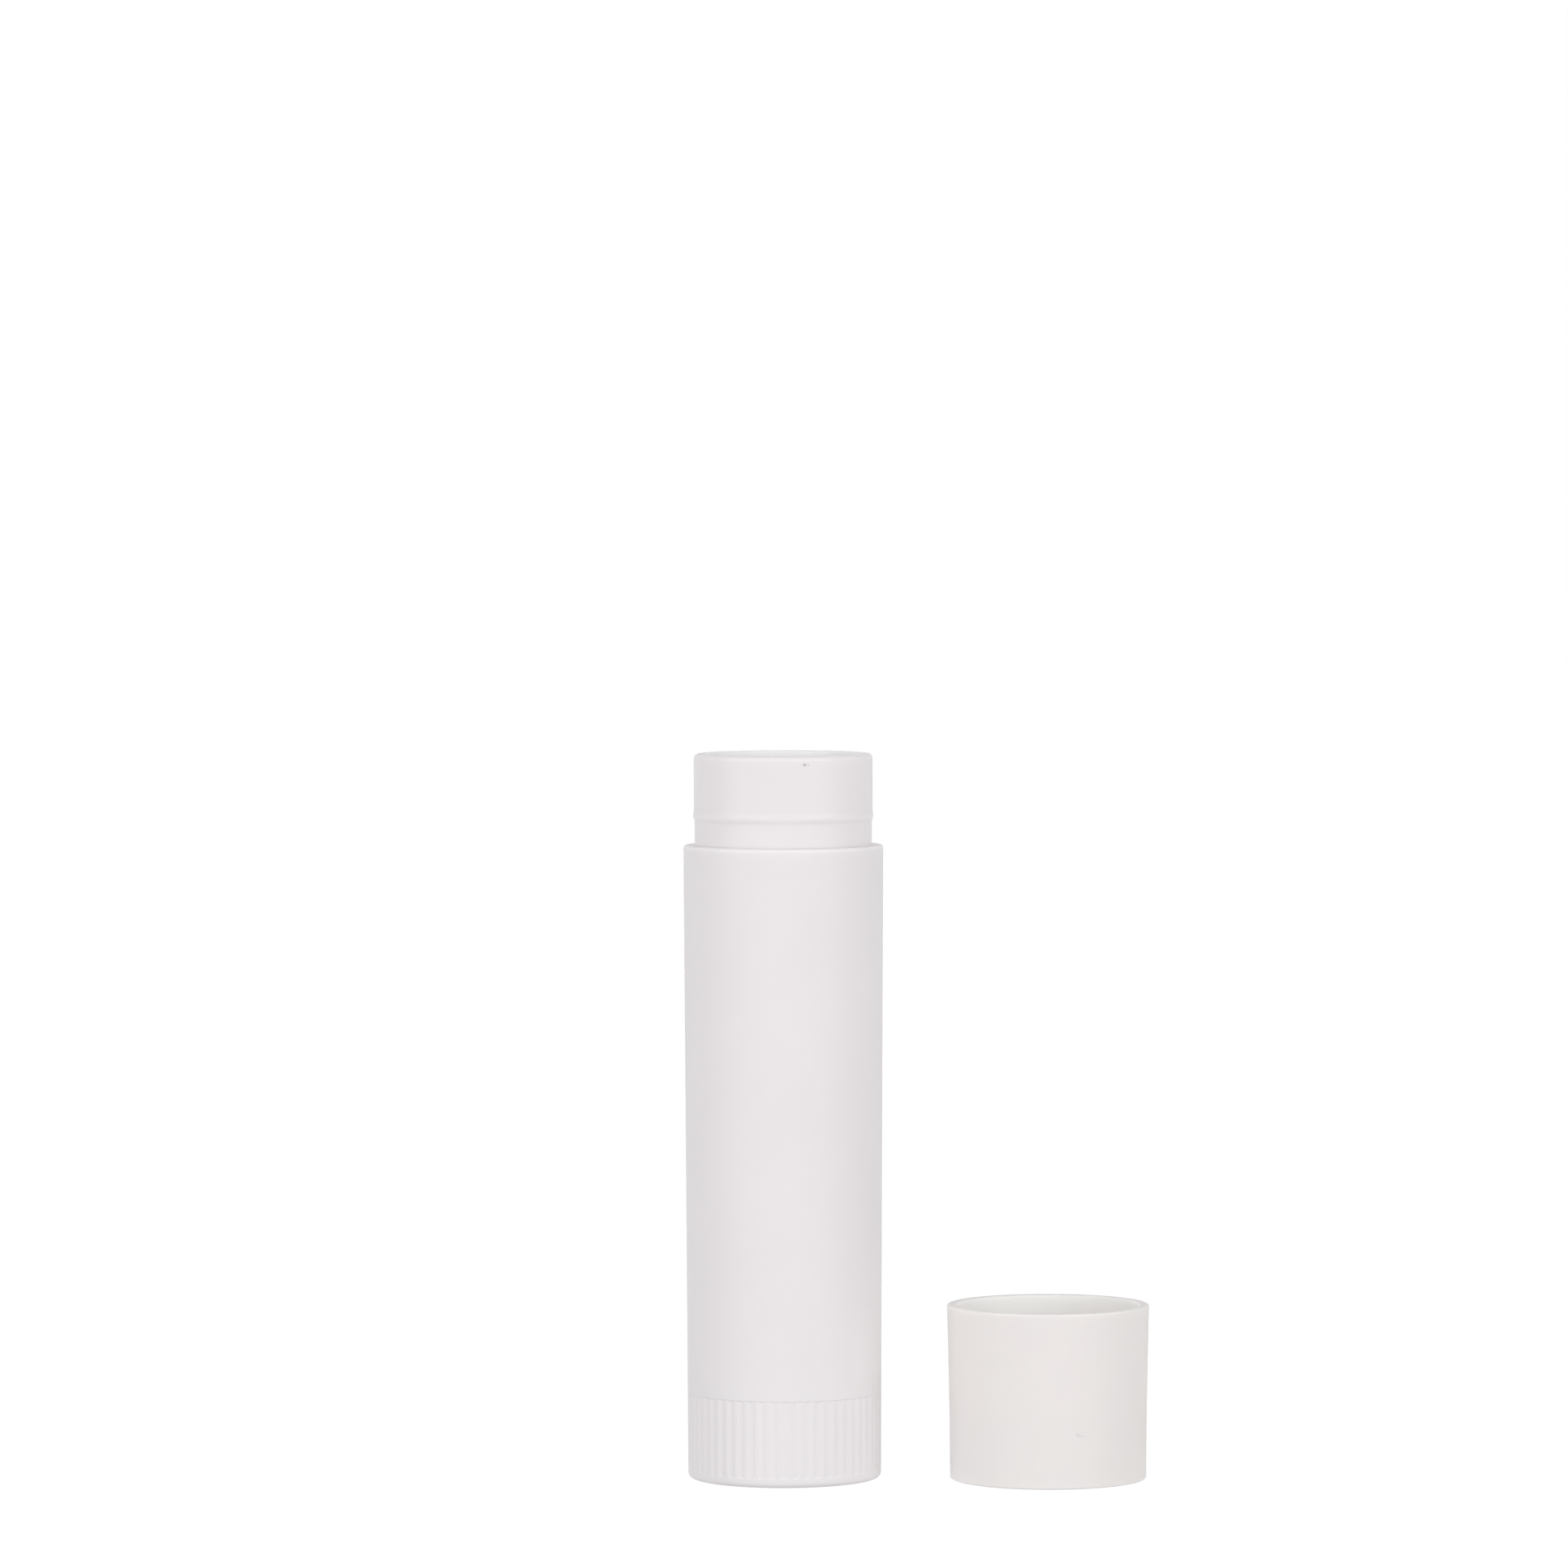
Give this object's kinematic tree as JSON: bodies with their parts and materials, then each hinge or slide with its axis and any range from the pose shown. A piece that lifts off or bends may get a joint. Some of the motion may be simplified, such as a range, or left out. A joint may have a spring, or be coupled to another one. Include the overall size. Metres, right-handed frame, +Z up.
{
  "type": "twist-up stick tube",
  "caption": "Empty white twist-up stick tube for balm: ribbed base wheel with threaded spindle, lifting cup, snap ring on the neck, its flared round cap off and upright beside it.",
  "frame": {"origin": "on the tube's axis, in the plane of the foot that it stands on", "axes": "+Z up along the tube's axis towards the open neck; +X towards the cap; -Y towards the pictured side"},
  "size_m": [0.0382, 0.0176, 0.0596],
  "materials": {
    "tube_white": "satin",
    "inner_white": "satin",
    "cap_white": "satin"
  },
  "bodies": {
    "barrel": {"barrel": "tube_white"},
    "base_wheel": {"base_wheel": "tube_white"},
    "elevator": {"elevator": "inner_white"},
    "cap": {"cap": "cap_white"}
  },
  "joints": [
    {"name": "dial_turn", "type": "hinge", "parent": "barrel", "child": "base_wheel", "pos_m": [0, 0, 0], "axis": [0, 0, -1], "range_deg": [0, 3600]},
    {"name": "elevator_rise", "type": "slide", "parent": "barrel", "child": "elevator", "axis": [0, 0, 1], "range_m": [0, 0.044]},
    {"name": "cap_lift", "type": "slide", "parent": "barrel", "child": "cap", "axis": [0, 0, 1], "range_m": [0, 0.065]}
  ],
  "couplings": [
    {"joint": "dial_turn", "follows": "elevator_rise", "rad_per_m": 1428}
  ]
}
